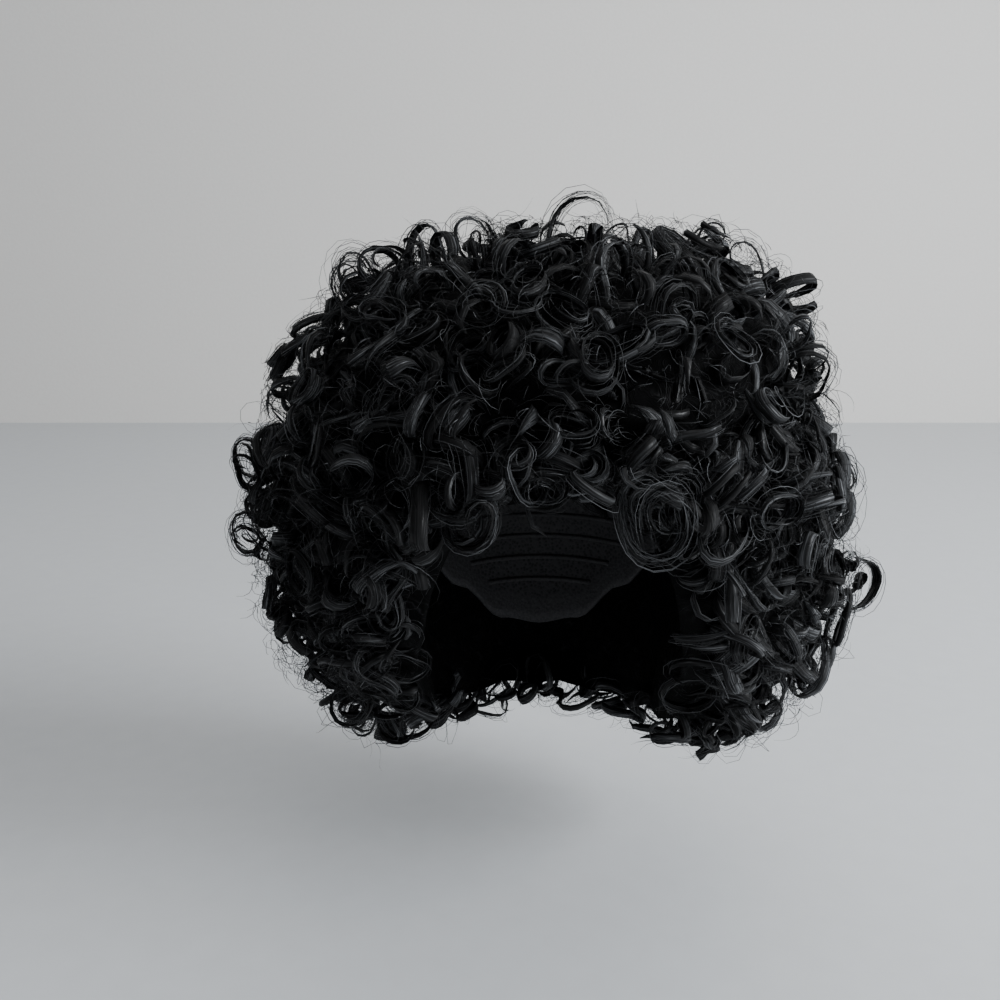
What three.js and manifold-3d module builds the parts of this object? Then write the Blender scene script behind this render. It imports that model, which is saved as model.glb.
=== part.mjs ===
// A curly afro wig: a thin dome-shaped cap, and six sections of curls sewn round it.
// Millimetres. +Z is up, the face looks along -Y and +X is to the right of someone facing it.
// The origin is the point inside the cap where the crown of the head sits.
import * as THREE from "three";
import { mergeVertices } from "three/addons/utils/BufferGeometryUtils.js";
import Module from "manifold-3d";

const wasm = await Module();
wasm.setup();

// Driving sizes of the wearer's head, which the cap fits
const HEAD_WIDTH = 154;
const HEAD_DEPTH = 194;
const CROWN_HEIGHT = 82; // from the crown down to the widest level
const NECK_DROP = 250; // from the crown down to where the neck ends
const DOME_POWER = 2.3; // 2 is a plain ellipse, and more is squarer
const NECK_SHARE = 0.74; // the neck's width and depth, as a share of the head's
const JAW = { start: 0.05, end: 0.62 }; // where the head narrows to the neck, as shares below CROWN_HEIGHT

// Driving sizes of the cap
const CAP_WALL = 1.5;
const CAP_BACK_DROP = 148; // from the crown down to the cap's edge at the nape
const SEAT_GAP = 0.3; // between the cap and the hair, and between two sections of hair

// Driving sizes of the hair
const HAIR_THICKNESS = 63; // from the head's mean surface to the crests of the curls
const HAIR_CENTRE_DROP = 65; // from the crown down to the middle of the ball of hair
const CURL_RADIUS = 20.5;
const CURL_STAND = 11; // how far a curl stands out of the mass behind it
const MASS_ROUGHNESS = 4.5; // how far the mass's lumps rise and fall
const LOCK_WIDTH = 8.5; // a loose ringlet's lock, along the ringlet's axis
const LOCK_THICKNESS = 3.8;
const RINGLET_CLOSING = 0.25; // the share of its radius that a loose ringlet loses by its end
const FACE_WIDTH = 144; // between the curls on both sides of the face
const BROW_DROP = 29; // from the crown down to the lower edge of the fringe
const TEMPLE_DROP = 80; // from the crown down to where the opening is at full width
const FACE_OPENING_BACK = 32; // how far in front of the ears' line the opening ends
const NAPE_SEAM_DROP = 111; // from the crown down to where the back's wefts meet the nape's

// What follows from those sizes
const HAIR_REACH = (HEAD_WIDTH + HEAD_DEPTH) / 4 + HAIR_THICKNESS;
const HAIR_CENTRE = new THREE.Vector3(0, 0, -HAIR_CENTRE_DROP);
const EDGE_CURL_REACH = 0.55 * CURL_RADIUS; // how far the curls hang into the face's opening
const UNDERSIDE_DROP = 0.7; // of HAIR_REACH, from the hair's centre to the middle of the underside
const FAR = 3 * HAIR_REACH;

// Facets round the head, the mass of hair, a curl and a lock. A head level is 0 at the crown, 1 at
// the widest level and 2 at the end of the neck.
const HEAD_STEPS = 20;
const HEAD_LEVELS = [0.12, 0.26, 0.42, 0.6, 0.8, 1, 1.2, 1.4, 1.62, 2];
const MASS_STEPS = 18;
const MASS_TURNS = [5, 15]; // every second ring of the mass is half a facet on
const MASS_POLARS = [20, 42, 64, 86, 108, 126, 141, 152];
const CURL_SIDES = 6;
const LOCK_STEPS_A_TURN = 8;

const MERGE_DISTANCE = 1e-3;

const DEGREE = Math.PI / 180;

// The cap's edge, all round: azimuth 0 is the face, and drop is a share of CAP_BACK_DROP
const CAP_EDGE = [
  { azimuth: 0, drop: 0.16 },
  { azimuth: 30, drop: 0.19 },
  { azimuth: 52, drop: 0.27 },
  { azimuth: 64, drop: 0.44 },
  { azimuth: 76, drop: 0.64 },
  { azimuth: 84, drop: 0.66 },
  { azimuth: 98, drop: 0.54 },
  { azimuth: 118, drop: 0.6 },
  { azimuth: 140, drop: 0.82 },
  { azimuth: 160, drop: 0.97 },
  { azimuth: 180, drop: 1 },
];

// Where the crests of the curls lie, as shares of HAIR_REACH from the hair's centre. A row is an
// angle from straight up. The columns go round: front (-Y), front right, right (+X), back right,
// back, back left, left, front left.
const OUTLINE = [
  { polar: 0, shares: [0.98, 0.98, 0.98, 0.98, 0.98, 0.98, 0.98, 0.98] },
  { polar: 20, shares: [0.98, 1.01, 1.05, 1.02, 0.99, 0.98, 0.99, 0.99] },
  { polar: 40, shares: [0.97, 1.07, 1.14, 1.07, 1.02, 1.01, 1.04, 1.00] },
  { polar: 60, shares: [0.89, 0.96, 1.04, 1.03, 1.04, 1.03, 1.04, 0.97] },
  { polar: 80, shares: [0.78, 0.87, 1.00, 1.03, 1.05, 1.03, 1.00, 0.88] },
  { polar: 100, shares: [0.70, 0.81, 1.07, 1.07, 1.06, 1.04, 1.01, 0.82] },
  { polar: 115, shares: [0.60, 0.78, 1.10, 1.12, 1.09, 1.08, 1.04, 0.79] },
  { polar: 128, shares: [0.50, 0.70, 1.12, 1.20, 1.15, 1.15, 1.02, 0.70] },
  { polar: 140, shares: [0.40, 0.56, 1.06, 1.22, 1.17, 1.20, 0.98, 0.54] },
  { polar: 152, shares: [0.30, 0.40, 0.78, 1.00, 0.98, 1.00, 0.74, 0.40] },
];

// The wefts, crown first: how many curls a full turn holds, and the half-angle left open in front
const WEFT_ROWS = [
  { polar: 0, curls: 1, open: 0 },
  { polar: 16, curls: 6, open: 0 },
  { polar: 31, curls: 11, open: 0 },
  { polar: 49, curls: 16, open: 0 },
  { polar: 67, curls: 19, open: 0 },
  { polar: 82, curls: 19, open: 31 },
  { polar: 97, curls: 19, open: 41 },
  { polar: 112, curls: 18, open: 47 },
  { polar: 127, curls: 17, open: 61 },
  { polar: 141, curls: 13, open: 95 },
];
const JITTER = { polar: 1.8, azimuth: 0.14, reach: 0.028, size: 0.12, tilt: 0.34 };

// One curl's end, seen from its side, as shares of its radius: its hollow middle, its crest, its
// widest turn and its root in the mass. The two turns sink by fall, once round, like a spiral. clear
// is how far each moves, outwards and up, for each millimetre of room left round the curl.
const CURL_PROFILE = {
  middle: { out: 0, up: -0.42, fall: 0, clear: [0, 1] },
  crest: { out: 0.62, up: 0.06, fall: 0.34, clear: [1, 1] },
  side: { out: 1, up: -0.38, fall: 0.3, clear: [1.6, 0] },
  root: { out: 0, up: -1.5, fall: 0, clear: [0, -1.6] },
};

// Ringlets that stand clear of the mass. at is the middle of the first turn, as polar, azimuth and
// share of the way out to the crests there. axis is the way the coil runs from there, as polar and
// azimuth. radius is a share of CURL_RADIUS, and advance is the way along the axis in a turn, as a
// share of LOCK_WIDTH.
const LOOSE_RINGLETS = [
  { section: "left", at: [38, -86, 0.97], axis: [88, 10], radius: 0.6, turns: 2.0, advance: 1.2 },
  { section: "left", at: [33, -74, 0.97], axis: [70, 20], radius: 0.5, turns: 1.3, advance: 1.2 },
  { section: "crown", at: [24, -88, 0.97], axis: [80, -30], radius: 0.5, turns: 1.2, advance: 1.2 },
  { section: "crown", at: [15, -98, 0.97], axis: [90, 14], radius: 0.52, turns: 1.4, advance: 1.2 },
  { section: "crown", at: [7, 60, 0.94], axis: [84, -20], radius: 0.76, turns: 1.2, advance: 1.2 },
  { section: "left", at: [76, -84, 1.0], axis: [94, 0], radius: 0.5, turns: 1.4, advance: 1.2 },
  { section: "left", at: [91, -85, 1.01], axis: [90, 12], radius: 0.46, turns: 1.5, advance: 1.2 },
  { section: "right", at: [81, 97, 1.0], axis: [84, -25], radius: 0.56, turns: 1.4, advance: 1.2 },
  { section: "right", at: [103, 98, 1.02], axis: [75, 20], radius: 0.62, turns: 1.6, advance: 1.2 },
  { section: "fringe", at: [75, -18, 0.89], axis: [96, -4], radius: 0.52, turns: 1.5, advance: 1.15 },
  { section: "fringe", at: [68, -4, 0.875], axis: [98, 6], radius: 0.5, turns: 1.2, advance: 1.15 },
  { section: "fringe", at: [74, 20, 0.88], axis: [96, 8], radius: 0.7, turns: 1.7, advance: 1.15 },
  { section: "left", at: [94, -41, 0.9], axis: [92, -50], radius: 0.6, turns: 1.3, advance: 1.2 },
  { section: "nape", at: [134, -117, 0.94], axis: [165, -60], radius: 0.5, turns: 1.8, advance: 1.7 },
  { section: "nape", at: [141, -126, 0.96], axis: [160, -60], radius: 0.46, turns: 1.7, advance: 1.7 },
  { section: "nape", at: [143, 116, 0.95], axis: [150, 60], radius: 0.5, turns: 1.6, advance: 1.6 },
];

// Sections in the order that they are trimmed in, as ranges of azimuth. The crown is a cone up from
// the hair's centre, the others lie below it, and the nape lies under the back.
const CROWN_CONE = 34;
const FRINGE_SIDE = 35;
const BACK_SIDE = 112;
const SECTIONS = [
  { name: "crown", from: -180, to: 180 },
  { name: "fringe", from: -FRINGE_SIDE, to: FRINGE_SIDE },
  { name: "left", from: -BACK_SIDE, to: -FRINGE_SIDE },
  { name: "right", from: FRINGE_SIDE, to: BACK_SIDE },
  { name: "back", from: BACK_SIDE, to: 360 - BACK_SIDE, low: -NAPE_SEAM_DROP, high: FAR },
  { name: "nape", from: BACK_SIDE, to: 360 - BACK_SIDE, low: -FAR, high: -NAPE_SEAM_DROP },
];

// A repeatable number from 0 to 1 for a curl and a purpose
function chance(index, purpose) {
  const wave = Math.sin(index * 12.9898 + purpose * 78.233) * 43758.5453;
  return wave - Math.floor(wave);
}

function spread(index, purpose) {
  return 2 * chance(index, purpose) - 1;
}

function direction(polar, azimuth) {
  const level = Math.sin(polar * DEGREE);
  return new THREE.Vector3(
    level * Math.sin(azimuth * DEGREE),
    -level * Math.cos(azimuth * DEGREE),
    Math.cos(polar * DEGREE),
  );
}

// A smooth curve through four even values, from b at 0 to c at 1
function smooth(a, b, c, d, t) {
  return b + 0.5 * t * (c - a + t * (2 * a - 5 * b + 4 * c - d + t * (3 * (b - c) + d - a)));
}

function outlineInRow(row, azimuth) {
  const columns = row.shares.length;
  const place = (((azimuth % 360) + 360) % 360) / (360 / columns);
  const left = Math.floor(place);
  const value = (step) => row.shares[(left + step + columns) % columns];
  return smooth(value(-1), value(0), value(1), value(2), place - left);
}

// The distance from the hair's centre to the crests of its curls
function hairReach(polar, azimuth) {
  const last = OUTLINE.length - 1;
  let index = 0;
  while (index < last - 1 && OUTLINE[index + 1].polar <= polar) index += 1;
  const from = OUTLINE[index].polar;
  const share = Math.min(1, (polar - from) / (OUTLINE[index + 1].polar - from));
  const value = (step) => {
    const row = OUTLINE[Math.max(0, Math.min(last, index + step))];
    return outlineInRow(row, azimuth);
  };
  return HAIR_REACH * smooth(value(-1), value(0), value(1), value(2), share);
}

function capEdgeDrop(azimuth) {
  const turned = Math.abs(((azimuth + 540) % 360) - 180);
  const index = CAP_EDGE.findIndex((row, i) => i > 0 && turned <= row.azimuth);
  const before = CAP_EDGE[index - 1];
  const after = CAP_EDGE[index];
  const share = (turned - before.azimuth) / (after.azimuth - before.azimuth);
  const eased = share * share * (3 - 2 * share);
  return CAP_BACK_DROP * (before.drop + eased * (after.drop - before.drop));
}

// A point of the head's surface
function headPoint(azimuth, level) {
  const half = new THREE.Vector2(
    (HEAD_WIDTH / 2) * Math.sin(azimuth * DEGREE),
    (-HEAD_DEPTH / 2) * Math.cos(azimuth * DEGREE),
  );
  const bend = (Math.min(level, 1) * Math.PI) / 2;
  const below = Math.max(level - 1, 0);
  const narrowing = THREE.MathUtils.smoothstep(below, JAW.start, JAW.end) * (1 - NECK_SHARE);
  const width = Math.sin(bend) ** (2 / DOME_POWER) * (1 - narrowing);
  const rise = Math.max(Math.cos(bend), 0) ** (2 / DOME_POWER);
  const z = -CROWN_HEIGHT * (1 - rise) - below * (NECK_DROP - CROWN_HEIGHT);
  return new THREE.Vector3(half.x * width, half.y * width, z);
}

// The same point, moved out square to the surface
function headPointOut(azimuth, level, offset) {
  const step = 0.02;
  const here = headPoint(azimuth, level);
  const along = headPoint(azimuth + 1, level).sub(headPoint(azimuth - 1, level));
  const down = headPoint(azimuth, Math.min(level + step, 2));
  down.sub(headPoint(azimuth, Math.max(level - step, step)));
  const normal = down.cross(along).normalize();
  return here.addScaledVector(normal, offset);
}

// A closed surface through rings of points, with one point to close each end
function ringedGeometry(top, rings, bottom) {
  const count = rings[0].length;
  const positions = [top, ...rings.flat(), bottom].flatMap((p) => [p.x, p.y, p.z]);
  const index = [];
  const at = (ring, step) => 1 + ring * count + ((step + count) % count);
  const lowest = 1 + rings.length * count;
  for (let i = 0; i < count; i += 1) {
    index.push(0, at(0, i), at(0, i + 1));
    for (let ring = 0; ring < rings.length - 1; ring += 1) {
      const [a, b] = [at(ring, i), at(ring, i + 1)];
      const [c, d] = [at(ring + 1, i), at(ring + 1, i + 1)];
      index.push(a, c, b, b, c, d);
    }
    index.push(lowest, at(rings.length - 1, i + 1), at(rings.length - 1, i));
  }
  const geometry = new THREE.BufferGeometry();
  geometry.setAttribute("position", new THREE.Float32BufferAttribute(positions, 3));
  geometry.setIndex(index);
  return geometry;
}

function azimuths(count) {
  return Array.from({ length: count }, (_, i) => (360 * i) / count);
}

// The same surface with its coinciding vertices merged, without the triangles that this closes up
function mergedGeometry(geometry) {
  const bare = new THREE.BufferGeometry();
  bare.setAttribute("position", geometry.getAttribute("position"));
  bare.setIndex(geometry.index);
  const merged = mergeVertices(bare, MERGE_DISTANCE);
  const corners = merged.index.array;
  const kept = [];
  for (let i = 0; i < corners.length; i += 3) {
    const [a, b, c] = [corners[i], corners[i + 1], corners[i + 2]];
    if (a !== b && b !== c && c !== a) kept.push(a, b, c);
  }
  merged.setIndex(kept);
  return merged;
}

// A closed three.js geometry as a manifold-3d solid
function solidOf(geometry) {
  const merged = mergedGeometry(geometry);
  return new wasm.Manifold(
    new wasm.Mesh({
      numProp: 3,
      vertProperties: new Float32Array(merged.getAttribute("position").array),
      triVerts: new Uint32Array(merged.index.array),
    }),
  );
}

function geometryOf(solid) {
  const mesh = solid.getMesh();
  const geometry = new THREE.BufferGeometry();
  geometry.setAttribute("position", new THREE.BufferAttribute(mesh.vertProperties, mesh.numProp));
  geometry.setIndex(new THREE.BufferAttribute(mesh.triVerts, 1));
  const merged = mergedGeometry(geometry);
  merged.computeVertexNormals();
  return merged;
}

// The head and neck, grown by offset on all sides
function headSolid(offset) {
  const rings = HEAD_LEVELS.map((level) =>
    azimuths(HEAD_STEPS).map((azimuth) => headPointOut(azimuth, level, offset)),
  );
  const top = new THREE.Vector3(0, 0, offset);
  const bottom = new THREE.Vector3(0, 0, -NECK_DROP);
  return solidOf(ringedGeometry(top, rings, bottom));
}

// Everything below the cap's edge
function belowCapEdge() {
  const around = azimuths(HEAD_STEPS);
  const ring = (radius, height) =>
    around.map((azimuth) => {
      const point = direction(90, azimuth).multiplyScalar(radius);
      return point.setZ(height(azimuth));
    });
  const edge = (azimuth) => -capEdgeDrop(azimuth);
  const inner = HEAD_WIDTH / 8;
  const outer = HEAD_WIDTH + HEAD_DEPTH;
  const floor = -FAR;
  const rings = [ring(inner, edge), ring(outer, edge), ring(outer, () => floor)];
  const top = new THREE.Vector3(0, 0, -CAP_BACK_DROP / 2);
  return solidOf(ringedGeometry(top, rings, new THREE.Vector3(0, 0, floor)));
}

function capSolid() {
  return headSolid(CAP_WALL).subtract(headSolid(0)).subtract(belowCapEdge());
}

// The opening in front of the face: an arch, cut straight through to the front
function faceOpening() {
  const half = FACE_WIDTH / 2 + EDGE_CURL_REACH;
  const rise = TEMPLE_DROP - BROW_DROP + EDGE_CURL_REACH;
  const arch = new THREE.Shape();
  arch.moveTo(half, -FAR);
  arch.lineTo(half, -TEMPLE_DROP);
  arch.absellipse(0, -TEMPLE_DROP, half, rise, 0, Math.PI, false, 0);
  arch.lineTo(-half, -FAR);
  const depth = FAR - FACE_OPENING_BACK;
  const geometry = new THREE.ExtrudeGeometry(arch, {
    depth,
    bevelEnabled: false,
    curveSegments: 9,
  });
  geometry.rotateX(Math.PI / 2).translate(0, -FACE_OPENING_BACK, 0);
  return solidOf(geometry);
}

// The mass behind the curls, grown by offset
function massSolid(offset) {
  const point = (polar, azimuth) => {
    const rough = spread(polar + azimuth, 9) * MASS_ROUGHNESS;
    const out = hairReach(polar, azimuth) - CURL_STAND + rough + offset;
    return HAIR_CENTRE.clone().addScaledVector(direction(polar, azimuth), out);
  };
  const rings = MASS_POLARS.map((polar, i) =>
    azimuths(MASS_STEPS).map((azimuth) => point(polar, azimuth + MASS_TURNS[i % 2])),
  );
  const under = new THREE.Vector3(0, 0, -HAIR_CENTRE_DROP - HAIR_REACH * UNDERSIDE_DROP - offset);
  return solidOf(ringedGeometry(point(0, 0), rings, under));
}

// The cone or wedge that a section fills, grown by offset
function sectionSpace(section, offset) {
  if (section.name === "crown") {
    const slope = Math.tan(CROWN_CONE * DEGREE);
    const tip = HAIR_CENTRE.z - offset / Math.sin(CROWN_CONE * DEGREE);
    const cone = new THREE.LatheGeometry(
      [new THREE.Vector2(0, 0), new THREE.Vector2(FAR * slope, FAR), new THREE.Vector2(0, FAR)],
      MASS_STEPS,
      Math.PI / MASS_STEPS,
    );
    return solidOf(cone.rotateX(Math.PI / 2).translate(0, 0, tip));
  }
  const half = ((section.to - section.from) / 2) * DEGREE;
  const middle = (section.from + section.to) / 2;
  const back = offset / Math.sin(half);
  const wedge = new THREE.Shape();
  const corner = (azimuth, out) => {
    const tip = direction(90, middle).multiplyScalar(-back);
    return direction(90, azimuth).multiplyScalar(out).add(tip);
  };
  const outline = [corner(0, 0), corner(section.from, FAR), corner(middle, 2 * FAR)];
  outline.push(corner(section.to, FAR));
  outline.forEach((p, i) => (i ? wedge.lineTo(p.x, p.y) : wedge.moveTo(p.x, p.y)));
  const { low = -FAR, high = FAR } = section;
  const depth = high - low + 2 * offset;
  const geometry = new THREE.ExtrudeGeometry(wedge, { depth, bevelEnabled: false });
  return solidOf(geometry.translate(0, 0, low - offset));
}

// Every curl of the wefts: where its crest is, which way it points and how wide it is
function listCurls() {
  const curls = [];
  WEFT_ROWS.forEach((row) => {
    const span = 360 - 2 * row.open;
    const count = Math.max(1, Math.round((row.curls * span) / 360));
    for (let i = 0; i < count; i += 1) {
      const n = curls.length + 1;
      const even = row.open + (row.open ? i / (count - 1) : (i + 0.5) / count) * span;
      const azimuth = even + (spread(n, 1) * JITTER.azimuth * span) / count;
      const polar = row.polar + spread(n, 2) * JITTER.polar * (row.polar ? 1 : 0);
      const reach = hairReach(polar, azimuth) * (1 + spread(n, 3) * JITTER.reach);
      const outward = direction(polar, azimuth);
      const tilt = direction(360 * chance(n, 5), 360 * chance(n, 6));
      curls.push({
        polar,
        azimuth: ((azimuth + 180) % 360) - 180,
        crest: HAIR_CENTRE.clone().addScaledVector(outward, reach),
        axis: outward.clone().addScaledVector(tilt, JITTER.tilt * chance(n, 4)).normalize(),
        radius: CURL_RADIUS * (1 + spread(n, 7) * JITTER.size),
        spin: 2 * Math.PI * chance(n, 8),
      });
    }
  });
  return curls;
}

function sectionOf(curl) {
  if (curl.polar < CROWN_CONE) return "crown";
  const side = Math.abs(curl.azimuth);
  if (side < FRINGE_SIDE) return "fringe";
  if (side > BACK_SIDE) return curl.crest.z < -NAPE_SEAM_DROP ? "nape" : "back";
  return curl.azimuth < 0 ? "left" : "right";
}

// Two directions square to an axis and to each other, the first of them level
function frameRound(axis) {
  const side = new THREE.Vector3(0, 0, 1).cross(axis);
  if (side.length() < 0.1) side.set(1, 0, 0);
  side.normalize();
  return { side, up: axis.clone().cross(side).normalize() };
}

function curlSolid(curl, offset) {
  const { side, up } = frameRound(curl.axis);
  const point = (part, step) => {
    const angle = curl.spin + (step / CURL_SIDES) * 2 * Math.PI;
    const out = part.out * curl.radius + part.clear[0] * offset;
    const fallen = part.up - (part.fall * step) / CURL_SIDES;
    const along = fallen * curl.radius + part.clear[1] * offset;
    const place = curl.crest.clone().addScaledVector(curl.axis, along);
    place.addScaledVector(side, out * Math.cos(angle));
    return place.addScaledVector(up, out * Math.sin(angle));
  };
  const steps = Array.from({ length: CURL_SIDES }, (_, i) => i);
  const rings = [CURL_PROFILE.crest, CURL_PROFILE.side].map((part) =>
    steps.map((step) => point(part, step)),
  );
  return solidOf(ringedGeometry(point(CURL_PROFILE.middle, 0), rings, point(CURL_PROFILE.root, 0)));
}

// A loose ringlet is a flat lock wound round its axis, closing in towards its end
function ringletSolid(ringlet, offset) {
  const [polar, azimuth, reach] = ringlet.at;
  const start = HAIR_CENTRE.clone();
  start.addScaledVector(direction(polar, azimuth), hairReach(polar, azimuth) * reach);
  const axis = direction(...ringlet.axis);
  const { side, up } = frameRound(axis);
  const steps = Math.ceil(ringlet.turns * LOCK_STEPS_A_TURN);
  const at = (t, out, along) => {
    const angle = t * ringlet.turns * 2 * Math.PI;
    const radius = CURL_RADIUS * ringlet.radius * (1 - RINGLET_CLOSING * t) + out;
    const advance = LOCK_WIDTH * ringlet.advance * ringlet.turns * t + along;
    const place = start.clone().addScaledVector(axis, advance);
    place.addScaledVector(side, radius * Math.cos(angle));
    return place.addScaledVector(up, radius * Math.sin(angle));
  };
  const width = LOCK_WIDTH / 2 + offset;
  const thickness = LOCK_THICKNESS / 2 + offset;
  const rings = Array.from({ length: steps + 1 }, (_, i) => {
    const corners = [[-1, -1], [1, -1], [1, 1], [-1, 1]];
    return corners.map(([out, along]) => at(i / steps, out * thickness, along * width));
  });
  return solidOf(ringedGeometry(at(0, 0, 0), rings, at(1, 0, 0)));
}

function largestBody(solid) {
  const bodies = solid.decompose();
  return bodies.reduce((best, body) => (body.volume() > best.volume() ? body : best));
}

const unite = (solids) => solids.reduce((all, solid) => all.add(solid));

// Each section is its share of the mass, less the face's opening, with its curls and ringlets fused
// to it, and cut clear of the head and of the sections before it
function hairSections() {
  const curls = listCurls();
  const headRoom = headSolid(CAP_WALL + SEAT_GAP);
  const face = faceOpening();
  const whole = (section, offset) => {
    const share = massSolid(offset).intersect(sectionSpace(section, offset)).subtract(face);
    const own = curls.filter((curl) => sectionOf(curl) === section.name);
    const loose = LOOSE_RINGLETS.filter((ringlet) => ringlet.section === section.name);
    return unite([
      share,
      ...own.map((curl) => curlSolid(curl, offset)),
      ...loose.map((ringlet) => ringletSolid(ringlet, offset)),
    ]);
  };
  const taken = [];
  return SECTIONS.map((section) => {
    const kept = whole(section, 0).subtract(unite([headRoom, ...taken]));
    taken.push(whole(section, SEAT_GAP));
    return { name: section.name, solid: largestBody(kept) };
  });
}

const capCloth = new THREE.MeshStandardMaterial({
  color: 0x0d0d0f,
  roughness: 0.9,
  metalness: 0,
});
const blackHair = new THREE.MeshStandardMaterial({
  color: 0x0b0b0d,
  roughness: 0.45,
  metalness: 0,
});

function namedMesh(name, solid, material) {
  const mesh = new THREE.Mesh(geometryOf(solid), material);
  mesh.name = name;
  return mesh;
}

const wig = new THREE.Group();
wig.add(namedMesh("cap", capSolid(), capCloth));
hairSections().forEach(({ name, solid }) => {
  wig.add(namedMesh(`${name}_curls`, solid, blackHair));
});

export default wig;
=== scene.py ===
"""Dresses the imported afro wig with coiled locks, stray fibres and a net cap.

Metres, in the row's frame: +Z up, the face opening towards -Y, the origin inside the crown.
"""
import math

import bpy
import numpy as np
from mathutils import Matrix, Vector, noise


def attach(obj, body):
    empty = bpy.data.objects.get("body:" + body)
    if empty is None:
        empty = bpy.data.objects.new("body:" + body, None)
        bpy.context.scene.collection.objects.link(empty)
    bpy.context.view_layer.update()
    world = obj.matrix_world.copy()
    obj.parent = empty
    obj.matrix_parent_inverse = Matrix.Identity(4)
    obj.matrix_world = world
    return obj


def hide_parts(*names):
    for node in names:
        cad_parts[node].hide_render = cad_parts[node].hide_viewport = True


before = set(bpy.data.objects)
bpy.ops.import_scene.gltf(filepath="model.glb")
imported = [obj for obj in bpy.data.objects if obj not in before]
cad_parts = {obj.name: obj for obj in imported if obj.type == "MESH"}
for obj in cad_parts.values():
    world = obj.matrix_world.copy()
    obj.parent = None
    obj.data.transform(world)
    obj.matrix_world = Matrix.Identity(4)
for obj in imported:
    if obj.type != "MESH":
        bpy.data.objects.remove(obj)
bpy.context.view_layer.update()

MM = 0.001
SEED = 20
random = np.random.default_rng(SEED)

# The photograph's camera, as it stands to the wig
LENS = 37.1
SENSOR = 36.0
CAMERA_PLACE = (-0.0235, -0.505, 0.065)
CAMERA_PITCH = 13.2

# How far the floor lies under the crown of the cap
FLOOR_DROP = 0.265

# The head that the cap fits, as in the part's source
HEAD_WIDTH = 154 * MM
HEAD_DEPTH = 194 * MM
CROWN_HEIGHT = 82 * MM
NECK_DROP = 250 * MM
DOME_POWER = 2.3
NECK_SHARE = 0.74
JAW_START, JAW_END = 0.05, 0.62
CAP_WALL = 1.5 * MM
CAP_BACK_DROP = 148 * MM
CAP_EDGE_AZIMUTHS = (0, 30, 52, 64, 76, 84, 98, 118, 140, 160, 180)
CAP_EDGE_DROPS = (0.16, 0.19, 0.27, 0.44, 0.64, 0.66, 0.54, 0.6, 0.82, 0.97, 1)

# The crests of the hair, as shares of HAIR_REACH: rows by polar angle, columns round from the front
HAIR_CENTRE = np.array([0, 0, -65 * MM])
HAIR_REACH = 150 * MM
OUTLINE_POLARS = np.array([0, 20, 40, 60, 80, 100, 115, 128, 140, 152], float)
OUTLINE = np.array([
    [0.98, 0.98, 0.98, 0.98, 0.98, 0.98, 0.98, 0.98],
    [0.98, 1.01, 1.05, 1.02, 0.99, 0.98, 0.99, 0.99],
    [0.97, 1.07, 1.14, 1.07, 1.02, 1.01, 1.04, 1.00],
    [0.89, 0.96, 1.04, 1.03, 1.04, 1.03, 1.04, 0.97],
    [0.78, 0.87, 1.00, 1.03, 1.05, 1.03, 1.00, 0.88],
    [0.70, 0.81, 1.07, 1.07, 1.06, 1.04, 1.01, 0.82],
    [0.60, 0.78, 1.10, 1.12, 1.09, 1.08, 1.04, 0.79],
    [0.50, 0.70, 1.12, 1.20, 1.15, 1.15, 1.02, 0.70],
    [0.40, 0.56, 1.06, 1.22, 1.17, 1.20, 0.98, 0.54],
    [0.30, 0.40, 0.78, 1.00, 0.98, 1.00, 0.74, 0.40],
])

# The half-angle that the face leaves open, by polar angle
OPEN_POLARS = (70, 73, 82, 97, 112, 127, 141, 150)
OPEN_HALVES = (0, 18, 33, 42, 48, 61, 95, 110)

# The sections of hair, as in the part's source
CROWN_CONE = 34
FRINGE_SIDE = 35
BACK_SIDE = 112
NAPE_SEAM = -111 * MM
SECTIONS = ("crown", "fringe", "left", "right", "back", "nape")

# The locks
LOCK_SPACING = 19 * MM
LOWEST_POLAR = 150
COIL_RADIUS = (6.5 * MM, 13.5 * MM)
COIL_TURNS = (1.2, 2.5)
WAVE_RADIUS = (9 * MM, 15 * MM)
WAVE_TURNS = (0.6, 1.1)
WAVE_SHARE = 0.22
END_ON_SHARE = 0.5
END_ON_LEAN = (0, 38)
END_ON_ADVANCE = (0.2, 0.7)
SIDE_ON_LEAN = (50, 90)
SIDE_ON_ADVANCE = (0.6, 1.3)
LOCK_WIDTH = (4 * MM, 10 * MM)
LOCK_DEPTH = 4.2 * MM
POINTS_A_TURN = 14
STRANDS = 5
BAND_FILL = (0.26, 0.43)
BAND_HALF_DEPTH = 0.6 * MM
# Painted highlight: the single strands' tone is lifted over the band's, so they show paler, as fibres
# catching the light
STRAND_GLINT_LIFT = 0.35
STRAND_RADIUS = 0.17 * MM
WANDER = 2.2 * MM
TAPER = 0.24
ROOT_DEPTH = 11 * MM
OUT_OF_ROUND = 0.2
CLOSING = (0.05, 0.5)
WANDER_PACE = (0.5, 1.6)
REACH_SPREAD = (-8 * MM, 5 * MM)
AZIMUTH_JITTER = 0.28
ROW_JITTER = 0.3
PIECE_TRIANGLES = 150000

# How the fibres lie in a lock, as shares of its length, width, depth and radius
STRAND_START = (0, 0.07)
STRAND_END = (0.86, 1.04)
BAND_END = (0.9, 1.0)
FRAY = 1.6
FRAY_START = 0.8
FRAY_LENGTH = 0.2
LOOSE_WIDTH = 0.7
LOOSE_RADIUS = 0.55
WIDTH_WAVE = 0.25
DEPTH_WAVE = 0.35
ROOT_LENGTH = 0.16
BLUNT_TIP = 0.03
STRAND_SPREAD = (0.7, 1.25)

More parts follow.
